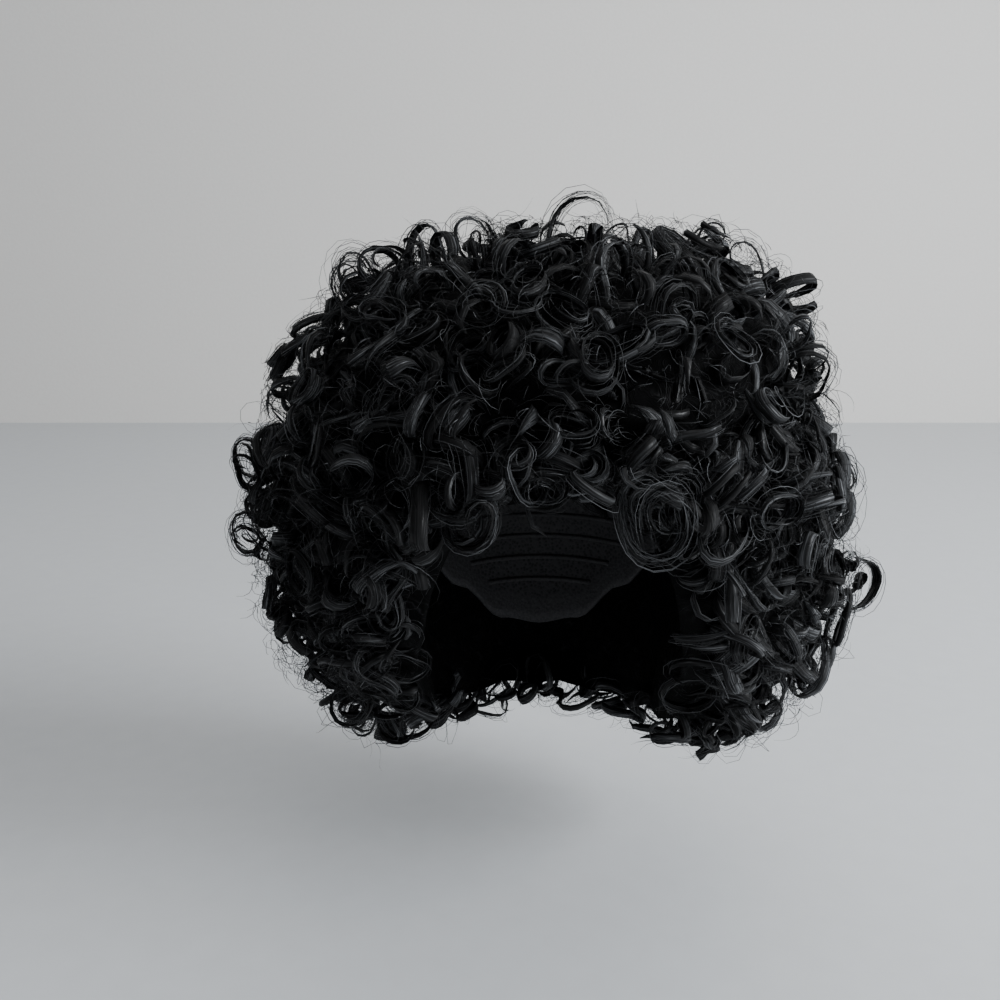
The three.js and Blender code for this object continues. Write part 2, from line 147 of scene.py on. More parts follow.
# The locks behind those, plainer and deeper
UNDER_SPACING = 19.5 * MM
UNDER_POINTS_A_TURN = 8
UNDER_STRANDS = 1
UNDER_RADIUS = (7 * MM, 14 * MM)
UNDER_WIDTH = (7 * MM, 11 * MM)
UNDER_SINK = (5 * MM, 13 * MM)
UNDER_LEAN = (20, 90)
UNDER_TURNS = (0.9, 1.5)
UNDER_ADVANCE = 0.9

# The locks that line the edge of the face opening and the underside
RIM_STEP = 15 * MM
RIM_STRANDS = 4
RIM_SINK = 6 * MM
RIM_START = 4.0
RIM_BEHIND = 100
RIM_DROOP = 0.6
RIM_JITTER = 0.2
RIM_LEAN = 0.9
RIM_TURNS = (0.9, 1.7)
RIM_ADVANCE = 0.8

# The loose ringlets' coils, the larger and the one inside it
RINGLET_STRANDS = 15
RINGLET_WIDTH = 8.5 * MM
RINGLET_CLOSING = 0.25
RINGLET_FILL = 1.25
INNER_SHARE = 0.62
INNER_WIDTH = 6 * MM
INNER_CLOSING = 0.5
INNER_SPIN = 2.4

# Loose ringlets: section, (polar, azimuth, share of reach), axis, radius, turns, way along per turn
LOOSE_RINGLETS = (
    ("left", (38, -86, 0.97), (88, 10), 12.3 * MM, 2.0, 10.2 * MM),
    ("left", (33, -74, 0.97), (70, 20), 10.2 * MM, 1.3, 10.2 * MM),
    ("crown", (24, -88, 0.97), (80, -30), 10.2 * MM, 1.2, 10.2 * MM),
    ("crown", (15, -98, 0.97), (90, 14), 10.7 * MM, 1.4, 10.2 * MM),
    ("crown", (7, 60, 0.94), (84, -20), 15.6 * MM, 1.2, 10.2 * MM),
    ("left", (76, -84, 1.0), (94, 0), 10.2 * MM, 1.4, 10.2 * MM),
    ("left", (91, -85, 1.01), (90, 12), 9.4 * MM, 1.5, 10.2 * MM),
    ("right", (81, 97, 1.0), (84, -25), 11.5 * MM, 1.4, 10.2 * MM),
    ("right", (103, 98, 1.02), (75, 20), 12.7 * MM, 1.6, 10.2 * MM),
    ("fringe", (75, -18, 0.89), (96, -4), 10.7 * MM, 1.5, 9.8 * MM),
    ("fringe", (68, -4, 0.875), (98, 6), 10.2 * MM, 1.2, 9.8 * MM),
    ("fringe", (74, 20, 0.88), (96, 8), 14.3 * MM, 1.7, 9.8 * MM),
    ("left", (94, -41, 0.9), (92, -50), 12.3 * MM, 1.3, 10.2 * MM),
    ("nape", (134, -117, 0.94), (165, -60), 10.2 * MM, 1.8, 14.4 * MM),
    ("nape", (141, -126, 0.96), (160, -60), 9.4 * MM, 1.7, 14.4 * MM),
    ("nape", (143, 116, 0.95), (150, 60), 10.2 * MM, 1.6, 13.6 * MM),
)

# The stray fibres that stand out of the curls
STRAYS = 3300
STRAY_POINTS = 8
STRAY_RADIUS = 0.125 * MM
STRAY_CURVE = (3 * MM, 15 * MM)
STRAY_SWEEP = (90, 350)
STRAY_LEAN = (0, 65)
STRAY_DEPTH = (2 * MM, 9 * MM)
STRAY_DRIFT = 9 * MM
STRAY_TONE = (0, 0.7)

# The loose fibres that lie over the curls
ARCS = 3200
ARC_POINTS = 5
ARC_RADIUS = 0.15 * MM
ARC_CURVE = (5 * MM, 12 * MM)
ARC_SWEEP = (40, 115)
ARC_LEAN = (50, 110)
ARC_DEPTH = (-2 * MM, 7 * MM)
ARC_DRIFT = 4 * MM
# Painted highlight: their tone runs high, so they show as pale fibres catching the light
ARC_GLINT_TONE = (0.3, 1.4)

# The mass behind the locks, coloured darker than the locks as painted shade: its facets, and how deep
# it lies under the crests
CORE_STEPS = 144
CORE_ROWS = 64
CORE_LINING_ROWS = 12
CORE_RIM_ROWS = 4
CORE_SINK = 20 * MM
CORE_LUMP = 8 * MM
CORE_LUMP_SIZE = 24 * MM
LINING_GAP = 0.7 * MM
CORE_CURL = 17 * MM
FIBRE_SPACING = 0.9 * MM

# The cap: its facets, its hem, and the weft tracks inside, in levels down the head or in degrees
CAP_STEPS = 90
CAP_ROWS = 34
CAP_INSET = 0.45 * MM
HEM_LEVELS = 0.1
HEM_EASE = 0.02
HEM_THICKENING = 0.35 * MM
FIRST_TRACK = 0.12
WEFT_EVERY = 0.075
TRACK_STEPS = 120
SHORTEST_TRACK = 40
TRACK_INSET = 0.1 * MM
TRACK_HALF_WIDTH = 1.5 * MM
TRACK_THICKNESS = 0.3

# The stage
WALL_DISTANCE = 1.6
WALL_HEIGHT = 4.0
FLOOR_NEAR = -3.0
STAGE_HALF_WIDTH = 4.0

# The lights: name, place, size, power and colour
LIGHTS = (
    ("window", (1.8, -0.6, 0.7), (1.1, 1.3), 74, (0.94, 0.97, 1.0)),
    ("fill", (-1.4, -1.3, 0.5), (1.6, 1.4), 3, (1.0, 0.96, 0.92)),
    ("top", (0.4, 0.1, 1.7), (1.6, 1.6), 9, (1.0, 0.99, 0.97)),
)
LIGHTS_AIM = (0, 0, -0.06)
WORLD_COLOUR = (0.9, 0.94, 1.0, 1)
WORLD_STRENGTH = 0.28


def unit(vectors):
    return vectors / np.linalg.norm(vectors, axis=-1, keepdims=True)


def direction(polar, azimuth):
    """Unit vectors at angles in degrees, polar from straight up and azimuth from the face."""
    polar, azimuth = np.radians(polar), np.radians(azimuth)
    level = np.sin(polar)
    x, y, z = level * np.sin(azimuth), -level * np.cos(azimuth), np.cos(polar) + 0 * azimuth
    return np.stack([x, y, z], -1)


def smooth(a, b, c, d, t):
    """A smooth curve through four even values, from b at 0 to c at 1."""
    return b + 0.5 * t * (c - a + t * (2 * a - 5 * b + 4 * c - d + t * (3 * (b - c) + d - a)))


def hair_reach(polar, azimuth):
    """The distance from the hair's centre to the crests of its curls."""
    polar = np.asarray(polar, float)
    azimuth = np.asarray(azimuth, float)
    last = len(OUTLINE_POLARS) - 1
    columns = OUTLINE.shape[1]
    row = np.clip(np.searchsorted(OUTLINE_POLARS, polar, side="right") - 1, 0, last - 1)
    low, high = OUTLINE_POLARS[row], OUTLINE_POLARS[row + 1]
    turn = (azimuth % 360) / (360 / columns)
    column = np.floor(turn).astype(int)

    def in_row(step):
        rows = np.clip(row + step, 0, last)
        a, b, c, d = (OUTLINE[rows, (column + k) % columns] for k in (-1, 0, 1, 2))
        return smooth(a, b, c, d, turn - column)

    share = np.minimum(1, (polar - low) / (high - low))
    return HAIR_REACH * smooth(in_row(-1), in_row(0), in_row(1), in_row(2), share)


def frame_round(axis):
    """Two directions square to each axis and to each other, the first of them level."""
    side = np.cross(np.array([0.0, 0.0, 1.0]), axis)
    flat = np.linalg.norm(side, axis=-1) < 0.1
    side[flat] = (1, 0, 0)
    side = unit(side)
    return side, unit(np.cross(axis, side))


def section_of(polar, azimuth, height):
    if polar < CROWN_CONE:
        return "crown"
    side = abs((azimuth + 180) % 360 - 180)
    if side < FRINGE_SIDE:
        return "fringe"
    if side > BACK_SIDE:
        return "nape" if height < NAPE_SEAM else "back"
    return "left" if (azimuth + 180) % 360 < 180 else "right"


def between(low_high, size=None):
    return random.uniform(low_high[0], low_high[1], size)


class Mesh:
    """Closed strands, gathered as arrays and turned into one object at the end."""

    def __init__(self):
        self.points, self.corners, self.starts = [], [], []
        self.tone, self.across, self.along = [], [], []
        self.vertices = self.loops = self.triangles = 0

    def add(self, rings, tone, across):
        """Adds rings of (strands, points, corners, 3), with a tone for each strand."""
        count, steps, sides, _ = rings.shape
        ids = self.vertices + np.arange(count * steps * sides).reshape(count, steps, sides)
        after = np.roll(ids, -1, axis=2)
        quads = np.stack([ids[:, :-1], after[:, :-1], after[:, 1:], ids[:, 1:]], -1).reshape(-1, 4)
        ends = np.concatenate([ids[:, 0, ::-1], ids[:, -1]])
        for faces in (quads, ends):
            size = faces.shape[1]
            self.starts.append(self.loops + size * np.arange(len(faces)))
            self.corners.append(faces.ravel())
            self.loops += faces.size
            self.triangles += len(faces) * (size - 2)
        self.points.append(rings.reshape(-1, 3))
        shape = (count, steps, sides)
        self.tone.append(np.broadcast_to(tone[:, None, None], shape).ravel())
        self.across.append(np.broadcast_to(across, shape).ravel())
        self.along.append(np.broadcast_to(np.linspace(0, 1, steps)[None, :, None], shape).ravel())
        self.vertices += count * steps * sides

    def object(self, name, material):
        mesh = bpy.data.meshes.new(name)
        mesh.vertices.add(self.vertices)
        mesh.vertices.foreach_set("co", np.concatenate(self.points).astype(np.float32).ravel())
        starts = np.concatenate(self.starts)
        mesh.loops.add(self.loops)
        mesh.loops.foreach_set("vertex_index", np.concatenate(self.corners).astype(np.int32))
        mesh.polygons.add(len(starts))
        mesh.polygons.foreach_set("loop_start", starts.astype(np.int32))
        mesh.polygons.foreach_set("use_smooth", np.ones(len(starts), bool))
        for word in ("tone", "across", "along"):
            values = np.concatenate(getattr(self, word)).astype(np.float32)
            mesh.attributes.new(word, "FLOAT", "POINT").data.foreach_set("value", values)
        mesh.update(calc_edges=True)
        mesh.validate()
        mesh.materials.append(material)
        obj = bpy.data.objects.new(name, mesh)
        bpy.context.scene.collection.objects.link(obj)
        return obj


TRIANGLE = np.array([[1, 0], [-0.5, 0.87], [-0.5, -0.87]])
ROOF = np.array([[1, 0], [-0.2, 1], [-0.2, -1]])
DIAMOND = np.array([[1, 0], [0, 1], [-1, 0], [0, -1]])
ACROSS_TRIANGLE = np.array([0.5, 1.0, 0.0])
ACROSS_DIAMOND = np.array([0.5, 1.0, 0.5, 0.0])


def strand_rings(path, out, along, section, out_size, along_size):
    """Rings of corners round each point of each path."""
    a = section[:, 0][:, None] * out[..., None, :] * out_size[..., None, None]
    b = section[:, 1][:, None] * along[..., None, :] * along_size[..., None, None]
    return path[..., None, :] + a + b


def wave(count, t, turns):
    """A slow random wave along each strand, from -1 to 1."""
    phase = random.uniform(0, 2 * np.pi, (count, 1))
    pace = random.uniform(0.6, 1.4, (count, 1)) * turns
    second = random.uniform(0, 2 * np.pi, (count, 1))
    slow = np.sin(2 * np.pi * pace * t + phase)
    quick = np.sin(4.6 * np.pi * pace * t + second)
    return 0.65 * slow + 0.35 * quick


def strand_paths(lock, strands, points_a_turn):
    """The lines that a lock's band and strands follow, and their directions out of the coil."""
    count = 1 + strands
    t = np.linspace(0, 1, 3 + round(points_a_turn * lock["turns"]))[None, :]
    start = between(STRAND_START, (count, 1))
    end = between(STRAND_END, (count, 1))
    end[0] = between(BAND_END)
    s = start + (end - start) * t
    loose = np.zeros((count, 1))
    loose[1:] = random.uniform(0, 1, (strands, 1)) ** 2
    fray = 1 + FRAY * np.clip((s - FRAY_START) / FRAY_LENGTH, 0, 1) ** 2
    offset_along = random.uniform(-1, 1, (count, 1))
    offset_along[0] = 0
    offset_out = random.uniform(-1, 1, (count, 1))
    offset_out[0] = 0
    spread = offset_along * (1 + LOOSE_WIDTH * loose) * fray
    along = lock["width"] / 2 * (spread + WIDTH_WAVE * wave(count, t, 1.0))
    out = LOCK_DEPTH / 2 * (offset_out * fray + DEPTH_WAVE * wave(count, t, 1.3))
    out = out + lock["radius"] * loose * LOOSE_RADIUS * wave(count, t, 0.7)
    theta = lock["spin"] + lock["hand"] * 2 * np.pi * lock["turns"] * s
    oval = 1 + OUT_OF_ROUND * np.sin(2 * theta + lock["oval"])
    oval = oval + 0.5 * OUT_OF_ROUND * np.sin(theta * 0.7 + lock["oval"])
    radius = lock["radius"] * oval * (1 - lock["closing"] * s) + out
    radial = np.cos(theta)[..., None] * lock["side"] + np.sin(theta)[..., None] * lock["up"]
    travel = lock["advance"] * lock["turns"] * (s - lock["middle"]) + along
    path = lock["centre"] + radial * radius[..., None] + lock["axis"] * travel[..., None]
    drift = np.sin(2 * np.pi * (lock["pace"] * s[..., None] + lock["phase"]))
    path = path + WANDER * drift
    sink = ROOT_DEPTH * np.clip(1 - s / ROOT_LENGTH, 0, 1) ** 2
    path = path - lock["outward"] * sink[..., None]
    return t, path, radial


def coil(mesh, lock, strands, points_a_turn=POINTS_A_TURN):
    """One lock: a flat band as wide as it, and single strands round that."""
    t, path, radial = strand_paths(lock, strands, points_a_turn)
    across = np.broadcast_to(lock["axis"], path.shape)
    taper = np.clip(1 + BLUNT_TIP - t, 0, TAPER) * np.clip(t + BLUNT_TIP, 0, TAPER) / TAPER ** 2
    tone = random.uniform(0, 1, 1 + strands)
    # Painted highlight: the single strands are lifted paler than the band
    tone[1:] += STRAND_GLINT_LIFT
    half_width = between(BAND_FILL) * lock["width"] * lock.get("fill", 1)
    deep, wide = BAND_HALF_DEPTH * taper, half_width * taper
    band = strand_rings(path[:1], radial[:1], across[:1], ROOF, deep, wide)
    mesh.add(band, tone[:1], ACROSS_TRIANGLE * 2 * half_width / MM)
    fine = STRAND_RADIUS * taper * between(STRAND_SPREAD, (strands, 1))
    rings = strand_rings(path[1:], radial[1:], across[1:], TRIANGLE, fine, fine)
    mesh.add(rings, tone[1:], ACROSS_TRIANGLE)


def lock_places(spacing):
    """Even places over the ball of hair, as polar and azimuth, with the face left open."""
    places = []
    step = math.degrees(spacing / HAIR_REACH)
    for row in range(int(LOWEST_POLAR / step) + 1):
        polar = row * step
        open_half = float(np.interp(polar, OPEN_POLARS, OPEN_HALVES))
        span = 360 - 2 * open_half
        reach = float(np.mean(hair_reach(np.full(12, polar), np.arange(12) * 30)))
        count = max(1, round(math.radians(span) * reach * math.sin(math.radians(polar)) / spacing))
        shift = 0.5 + 0.5 * (row % 2) * (open_half == 0)
        for i in range(count):
            azimuth = open_half + (i + shift) / count * span
            azimuth += random.uniform(-AZIMUTH_JITTER, AZIMUTH_JITTER) * span / count
            places.append((max(0, polar + random.uniform(-ROW_JITTER, ROW_JITTER) * step), azimuth))
    return places


def random_lock(polar, azimuth):
    """A coil seen from its end or its side, or a loose wave that lies over the others."""
    outward = direction(polar, azimuth)
    side, up = frame_round(outward[None])
    turn = random.uniform(0, 2 * np.pi)
    tangent = np.cos(turn) * side[0] + np.sin(turn) * up[0]
    waved = random.uniform() < WAVE_SHARE
    end_on = not waved and random.uniform() < END_ON_SHARE
    lean = math.radians(between(END_ON_LEAN if end_on else SIDE_ON_LEAN))
    axis = unit(outward * math.cos(lean) + tangent * math.sin(lean))
    radius = between(WAVE_RADIUS if waved else COIL_RADIUS)
    turns = between(WAVE_TURNS if waved else COIL_TURNS)
    width = between(LOCK_WIDTH)
    advance = width * between(END_ON_ADVANCE if end_on else SIDE_ON_ADVANCE)
    half = advance * turns / 2 + width / 2
    facing = abs(float(axis @ outward))
    stand = half * facing + radius * math.sqrt(max(0, 1 - facing * facing))
    reach = float(hair_reach(polar, azimuth)) - stand + between(REACH_SPREAD)
    centre = HAIR_CENTRE + outward * reach
    return make_lock(centre, outward, axis, radius, turns, width, advance, 0.5)


def under_lock(polar, azimuth):
    """A plain coil at any angle, behind the others."""
    outward = direction(polar, azimuth)
    side, up = frame_round(outward[None])
    turn, lean = random.uniform(0, 2 * np.pi), math.radians(between(UNDER_LEAN))
    tangent = np.cos(turn) * side[0] + np.sin(turn) * up[0]
    axis = unit(outward * math.cos(lean) + tangent * math.sin(lean))
    radius, width = between(UNDER_RADIUS), between(UNDER_WIDTH)
    facing = abs(float(axis @ outward))
    stand = width * facing + radius * math.sqrt(max(0, 1 - facing * facing))
    reach = float(hair_reach(polar, azimuth)) - stand - between(UNDER_SINK)
    turns = between(UNDER_TURNS)
    centre = HAIR_CENTRE + outward * reach
    return make_lock(centre, outward, axis, radius, turns, width, width * UNDER_ADVANCE, 0.5)


def make_lock(centre, outward, axis, radius, turns, width, advance, middle):
    """The values of one lock, of which middle is the share of its length that lies at its centre."""
    side, up = frame_round(np.array([axis]))
    return {
        "centre": centre, "outward": outward, "axis": axis, "side": side[0], "up": up[0],
        "radius": radius, "turns": turns, "width": width, "advance": advance, "middle": middle,
        "spin": random.uniform(0, 2 * np.pi), "hand": random.choice((-1, 1)),
        "closing": between(CLOSING), "oval": random.uniform(0, 2 * np.pi),
        "pace": between(WANDER_PACE, 3), "phase": random.uniform(0, 1, 3),
    }


def rim_facing(azimuth):
    """The way that the edge of the mass faces: in to the face in front, and down behind."""
    if abs(azimuth) > RIM_BEHIND:
        return np.array([0.0, 0.0, -1.0])
    angle = math.radians(azimuth)
    inward = -math.copysign(1, azimuth) * math.cos(angle)
    return unit(np.array([inward, -abs(math.sin(angle)), -RIM_DROOP]))


def rim_locks():
    """Locks all along the edge of the mass, from the crests in to the cap."""
    locks = []
    for side in (-1, 1):
        azimuth = side * RIM_START
        while 0 < side * azimuth < 180:
            edge = float(core_edge(np.array(azimuth)))
            reach = float(hair_reach(edge, azimuth))
            crest = HAIR_CENTRE + direction(edge, azimuth) * reach
            inner = head_point_out(azimuth, level_at(-crest[2]), 0.0)
            count = max(1, round(float(np.linalg.norm(crest - inner)) / RIM_STEP))
            facing = rim_facing(azimuth)
            for i in range(count):
                share = i + 0.35 + random.uniform(-RIM_JITTER, RIM_JITTER)
                place = crest + (inner - crest) * share / count
                axis = unit(facing + random.uniform(-RIM_LEAN, RIM_LEAN, 3))
                radius, width = between(COIL_RADIUS), between(LOCK_WIDTH)
                turns, advance = between(RIM_TURNS), width * RIM_ADVANCE
                centre = place - facing * RIM_SINK
                lock = make_lock(centre, facing, axis, radius, turns, width, advance, 0.5)
                locks.append((section_of(edge, azimuth, place[2]), lock))
            around = reach * max(0.3, math.sin(math.radians(edge)))
            azimuth += side * math.degrees(RIM_STEP / around)
    return locks


def build_locks(material):
    """The locks of each section, in pieces of limited size."""
    groups = {name: [] for name in SECTIONS}
    for polar, azimuth in lock_places(LOCK_SPACING):
        lock = random_lock(polar, azimuth)
        name = section_of(polar, azimuth, lock["centre"][2])
        groups[name].append((lock, STRANDS))
    for polar, azimuth in lock_places(UNDER_SPACING):
        lock = under_lock(polar, azimuth)
        name = section_of(polar, azimuth, lock["centre"][2])
        groups[name].append((lock, UNDER_STRANDS, UNDER_POINTS_A_TURN))
    for name, lock in rim_locks():
        groups[name].append((lock, RIM_STRANDS))
    pieces = []
    for name, locks in groups.items():
        mesh, number = Mesh(), 1
        for lock in locks:
            coil(mesh, *lock)
            if mesh.triangles > PIECE_TRIANGLES:
                pieces.append((mesh.object(f"{name}_locks_{number}", material), name))
                mesh, number = Mesh(), number + 1
        for ringlet in (r for r in LOOSE_RINGLETS if r[0] == name):
            add_ringlet(mesh, ringlet)
        pieces.append((mesh.object(f"{name}_locks_{number}", material), name))
    return pieces


def add_ringlet(mesh, ringlet):
    """A loose ringlet: a coil of many strands with a smaller coil inside it."""
    _, (polar, azimuth, share), axis, radius, turns, advance = ringlet
    outward = direction(polar, azimuth)
    centre = HAIR_CENTRE + outward * float(hair_reach(polar, azimuth)) * share
    lock = make_lock(centre, outward, direction(*axis), radius, turns, RINGLET_WIDTH, advance, 0)
    lock.update(spin=0, hand=1, closing=RINGLET_CLOSING, fill=RINGLET_FILL)
    coil(mesh, lock, RINGLET_STRANDS)
    lock.update(radius=INNER_SHARE * radius, spin=INNER_SPIN, closing=INNER_CLOSING, width=INNER_WIDTH)
    coil(mesh, lock, STRANDS)


def loose_fibres(count, points, thickness, curve, sweeps, lean, depth, drift):
    """Single bent fibres, from depth under the crests, and the section that each grows from."""
    polar = np.degrees(np.arccos(random.uniform(math.cos(math.radians(LOWEST_POLAR)), 1, count)))
    open_half = np.interp(polar, OPEN_POLARS, OPEN_HALVES)
    azimuth = open_half + random.uniform(0, 1, count) * (360 - 2 * open_half)
    outward = direction(polar, azimuth)
    start = HAIR_CENTRE + outward * (hair_reach(polar, azimuth) - between(depth, count))[:, None]
    side, up = frame_round(outward.copy())
    turn = random.uniform(0, 2 * np.pi, count)[:, None]
    tangent = np.cos(turn) * side + np.sin(turn) * up
    lean = np.radians(between(lean, count))[:, None]
    first = unit(outward * np.cos(lean) + tangent * np.sin(lean))
    second = unit(np.cross(np.cross(first, unit(tangent + 0.3 * side)), first))
    t = np.linspace(0, 1, points)[None, :, None]
    bend = curve[0] + (curve[1] - curve[0]) * random.uniform(0, 1, (count, 1, 1)) ** 1.6
    bend = bend * (1 - random.uniform(0, 0.5, (count, 1, 1)) * t)
    sweep = np.radians(between(sweeps, (count, 1, 1))) * t
    ahead = first[:, None] * bend * np.sin(sweep)
    aside = second[:, None] * bend * (1 - np.cos(sweep))
    path = start[:, None] + ahead + aside
    third = np.cross(first, second)
    path = path + third[:, None] * random.uniform(-drift, drift, (count, 1, 1)) * t
    radial = first[:, None] * np.sin(sweep) - second[:, None] * np.cos(sweep)
    across = np.broadcast_to(third[:, None], path.shape)
    fine = thickness * np.clip((1.05 - t[..., 0]) / 0.5, 0.35, 1) * np.ones((count, 1))
    rings = strand_rings(path, radial, across, TRIANGLE, fine, fine)
    return rings, np.array([section_of(p, a, s[2]) for p, a, s in zip(polar, azimuth, start)])


def build_strays(material):
    """Fibres that stand out of the curls and bend back, and fibres that lie over the curls."""
    strays = loose_fibres(
        STRAYS, STRAY_POINTS, STRAY_RADIUS, STRAY_CURVE,
        STRAY_SWEEP, STRAY_LEAN, STRAY_DEPTH, STRAY_DRIFT,
    )
    arcs = loose_fibres(
        ARCS, ARC_POINTS, ARC_RADIUS, ARC_CURVE,
        ARC_SWEEP, ARC_LEAN, ARC_DEPTH, ARC_DRIFT,
    )
    pieces = []
    for name in SECTIONS:
        mesh = Mesh()
        for (rings, names), tones in ((strays, STRAY_TONE), (arcs, ARC_GLINT_TONE)):
            chosen = rings[names == name]
            mesh.add(chosen, between(tones, len(chosen)), ACROSS_TRIANGLE)
        pieces.append((mesh.object(f"{name}_strays", material), name))
    return pieces


def head_point(azimuth, level):
    """Points of the head: level is 0 at the crown, 1 where it is widest and 2 at the neck."""
    azimuth = np.radians(azimuth)
    bend = np.minimum(level, 1) * np.pi / 2
    below = np.maximum(level - 1, 0)
    share = np.clip((below - JAW_START) / (JAW_END - JAW_START), 0, 1)
    narrowing = share * share * (3 - 2 * share) * (1 - NECK_SHARE)
    width = np.sin(bend) ** (2 / DOME_POWER) * (1 - narrowing)
    rise = np.maximum(np.cos(bend), 0) ** (2 / DOME_POWER)
    z = -CROWN_HEIGHT * (1 - rise) - below * (NECK_DROP - CROWN_HEIGHT)
    x = HEAD_WIDTH / 2 * np.sin(azimuth) * width
    y = -HEAD_DEPTH / 2 * np.cos(azimuth) * width
    return np.stack([x, y, z + 0 * azimuth], -1)


def head_point_out(azimuth, level, offset):
    """Points that lie offset outside the head's surface."""
    step = 0.01
    along = head_point(azimuth + 1, level) - head_point(azimuth - 1, level)
    down = head_point(azimuth, level + step) - head_point(azimuth, np.maximum(level - step, 1e-4))
    normal = unit(np.cross(down, along))
    return head_point(azimuth, level) + normal * np.asarray(offset)[..., None]


def level_at(drop):
    """The level at which the head lies that far under its crown."""
    levels = np.linspace(0, 2, 801)
    heights = -head_point(np.zeros_like(levels), levels)[:, 2]
    return np.interp(drop, heights, levels)


def cap_edge_level(azimuth):
    """The level at which the cap ends, for each azimuth."""
    turned = np.abs((azimuth + 180) % 360 - 180)
    index = np.clip(np.searchsorted(CAP_EDGE_AZIMUTHS, turned) - 1, 0, len(CAP_EDGE_AZIMUTHS) - 2)
    rows, drops = np.array(CAP_EDGE_AZIMUTHS), np.array(CAP_EDGE_DROPS)
    share = (turned - rows[index]) / (rows[index + 1] - rows[index])
    eased = share * share * (3 - 2 * share)
    return level_at(CAP_BACK_DROP * (drops[index] + eased * (drops[index + 1] - drops[index])))


def core_edge(azimuth):
    """The polar angle at which the mass ends, by azimuth: high over the brow and low behind."""
    turned = np.abs((azimuth + 180) % 360 - 180)
    return np.interp(turned, OPEN_HALVES, OPEN_POLARS)


def lumps(points):
    """Round lumps side by side, from about -0.5 between them to 0.5 at their middles."""
    near = [noise.voronoi(Vector(p) / CORE_LUMP_SIZE)[0][0] for p in points.reshape(-1, 3)]
    return 0.5 - 1.2 * np.array(near)


def build_core(material):
    """The dense mass behind the locks, as one closed shell from the crests in to the cap."""
    azimuth = np.arange(CORE_STEPS) * 360 / CORE_STEPS
    edge = core_edge(azimuth)
    polar = np.linspace(0.01, 1, CORE_ROWS)[:, None] * edge[None]
    around = np.broadcast_to(azimuth[None], polar.shape)
    outward = direction(polar, around)
    outer = HAIR_CENTRE + outward * (hair_reach(polar, around) - CORE_SINK)[..., None]
    outer = outer + outward * (CORE_LUMP * lumps(outer)).reshape(polar.shape)[..., None]
    lowest = level_at(-outer[-1, :, 2])
    level = np.linspace(1, 0.01, CORE_LINING_ROWS)[:, None] * lowest[None]
    around = np.broadcast_to(azimuth[None], level.shape)
    lining = head_point_out(around, level, CAP_WALL + LINING_GAP + 0 * level)
    share = np.linspace(0, 1, CORE_RIM_ROWS + 2)[1:-1, None, None]
    rim = outer[-1] * (1 - share) + lining[0] * share
    mesh = Mesh()
    rings = np.concatenate([outer, rim, lining])[None]
    mesh.add(rings, np.zeros(1), np.zeros(CORE_STEPS))
    return mesh.object("hair_core", material)


def build_cap(material):
    """The net cap: a thin wall with weft tracks sewn round its inside and an elastic hem."""
    azimuth = np.arange(CAP_STEPS) * 360 / CAP_STEPS
    edge = cap_edge_level(azimuth)
    rise = (np.linspace(0.02, 1, CAP_ROWS) ** 0.8)[:, None]
    levels = rise * edge[None]
    around = np.broadcast_to(azimuth[None], levels.shape)
    hem = np.clip((levels - (edge[None] - HEM_LEVELS)) / HEM_EASE, 0, 1)
    inner = head_point_out(around, levels, CAP_INSET - HEM_THICKENING * hem)
    outer = head_point_out(around, levels, CAP_WALL + 0 * levels)
    mesh = Mesh()
    rings = np.concatenate([inner, outer[::-1]])[None]
    mesh.add(rings, np.zeros(1), np.zeros(CAP_STEPS))
    mesh.tone[-1] = np.concatenate([hem, hem[::-1]]).ravel()
    mesh.along[-1] = np.concatenate([levels, levels[::-1]]).ravel()
    mesh.across[-1] = np.concatenate([around, around]).ravel() / 360
    for track in np.arange(FIRST_TRACK, float(edge.max()) - HEM_LEVELS, WEFT_EVERY):
        add_track(mesh, track)
    return mesh.object("cap_net", material)


def add_track(mesh, track):
    """One weft track, laid round the inside of the cap as far as the hem lets it."""
    open_azimuths = np.arange(0, 360, 1.0)
    inside = open_azimuths[cap_edge_level(open_azimuths) - HEM_LEVELS > track]
    if len(inside) < SHORTEST_TRACK:
        return
    if len(inside) == len(open_azimuths):
        around = np.linspace(0, 360, TRACK_STEPS)
    else:
        around = np.linspace(inside.min(), inside.max(), TRACK_STEPS)
    level = np.full(TRACK_STEPS, track)
    path = head_point_out(around, level, np.full(TRACK_STEPS, TRACK_INSET))
    down = unit(head_point(around, level + 0.01) - head_point(around, level))
    out = unit(np.cross(down, head_point(around + 1, level) - head_point(around - 1, level)))
    half = np.full((1, TRACK_STEPS), TRACK_HALF_WIDTH)
    rings = strand_rings(path[None], out[None], down[None], DIAMOND, half * TRACK_THICKNESS, half)
    mesh.add(rings, np.full(1, 0.5), ACROSS_DIAMOND)


def new_material(name):
    material = bpy.data.materials.new(name)
    material.use_nodes = True
    nodes, links = material.node_tree.nodes, material.node_tree.links
    return material, nodes, links, nodes["Principled BSDF"]


def attribute(nodes, name):
    node = nodes.new("ShaderNodeAttribute")
    node.attribute_name = name
    return node.outputs["Fac"]


def math_node(nodes, links, operation, a, b):
    node = nodes.new("ShaderNodeMath")
    node.operation = operation
    for socket, value in zip(node.inputs, (a, b)):
        if isinstance(value, (int, float)):
            socket.default_value = value
        else:
            links.new(value, socket)
    return node.outputs[0]


def ramp(nodes, links, value, stops):
    node = nodes.new("ShaderNodeValToRGB")
    links.new(value, node.inputs["Fac"])
    elements = node.color_ramp.elements
    while len(elements) < len(stops):
        elements.new(0.5)
    for element, (place, colour) in zip(elements, stops):
        element.position = place
        element.color = (*colour, 1)
    return node.outputs["Color"]


def noise_texture(nodes, links, place, scale, detail=2.0):
    node = nodes.new("ShaderNodeTexNoise")
    node.inputs["Scale"].default_value = scale
    node.inputs["Detail"].default_value = detail
    links.new(place, node.inputs["Vector"])
    return node


